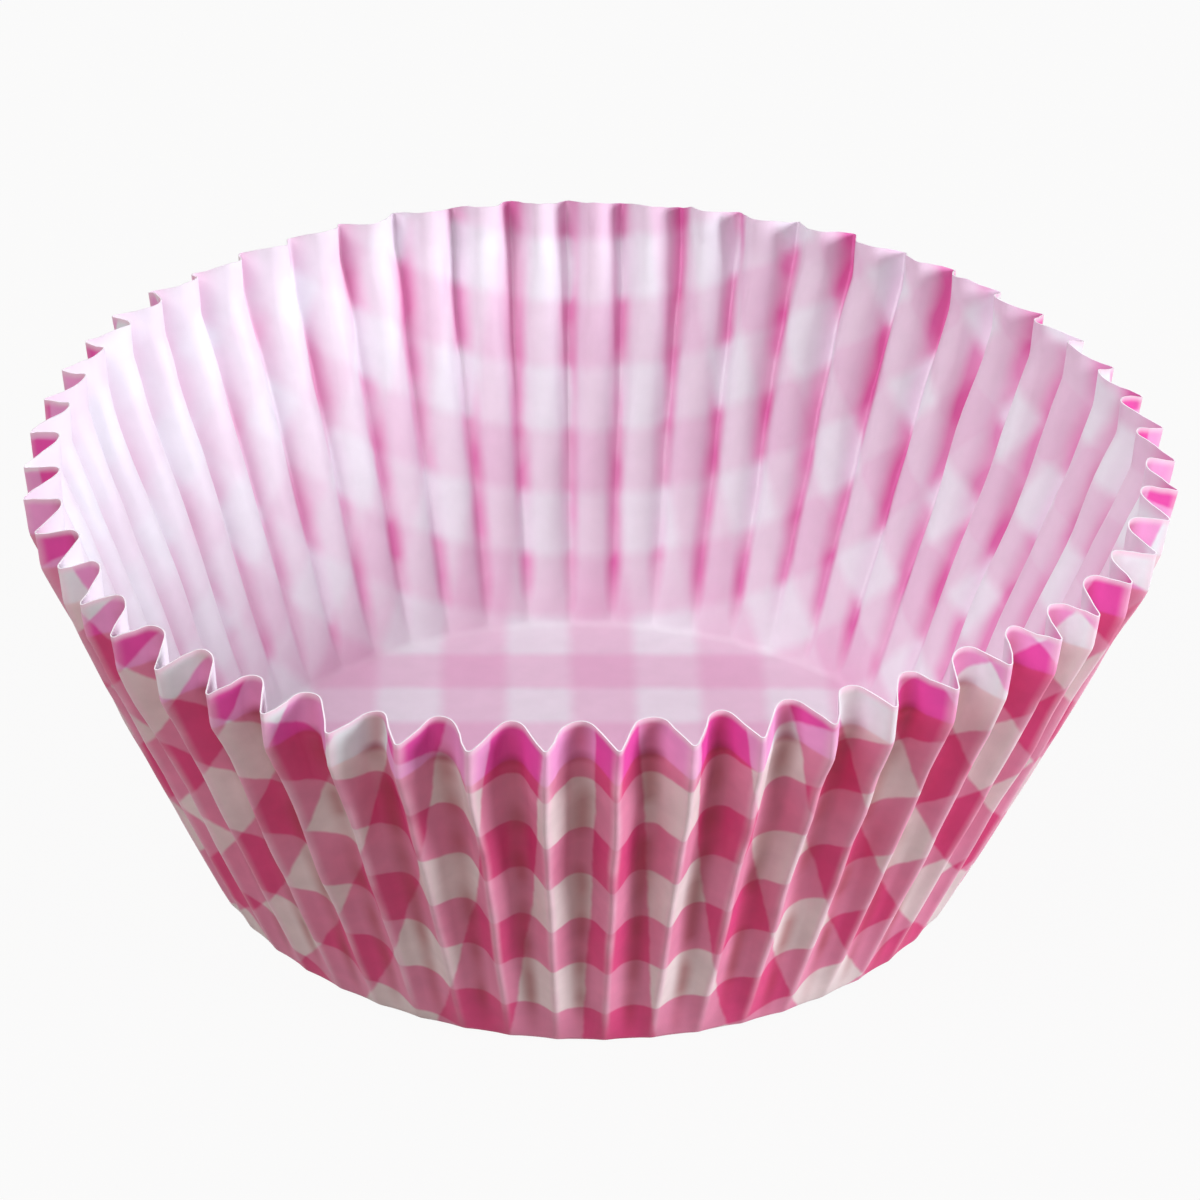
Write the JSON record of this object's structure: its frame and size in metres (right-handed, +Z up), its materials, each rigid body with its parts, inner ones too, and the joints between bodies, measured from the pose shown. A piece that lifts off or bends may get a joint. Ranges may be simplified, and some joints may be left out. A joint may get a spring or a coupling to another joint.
{
  "type": "cupcake liner",
  "caption": "Pleated paper cupcake liner with a flat round base and a flaring fluted wall, printed outside with pink and white gingham, which holds a small cake as it bakes.",
  "frame": {"origin": "centre of the base's underside, on the surface that the liner stands on", "axes": "+Z up along the cup's axis, -Y towards the front of the picture's view, +X to its right"},
  "size_m": [0.074, 0.0738, 0.0294],
  "materials": {
    "printed_paper": "uncoated greaseproof paper, pink and white gingham printed outside, plain white inside"
  },
  "bodies": {
    "root": {"liner": "printed_paper"}
  },
  "joints": []
}
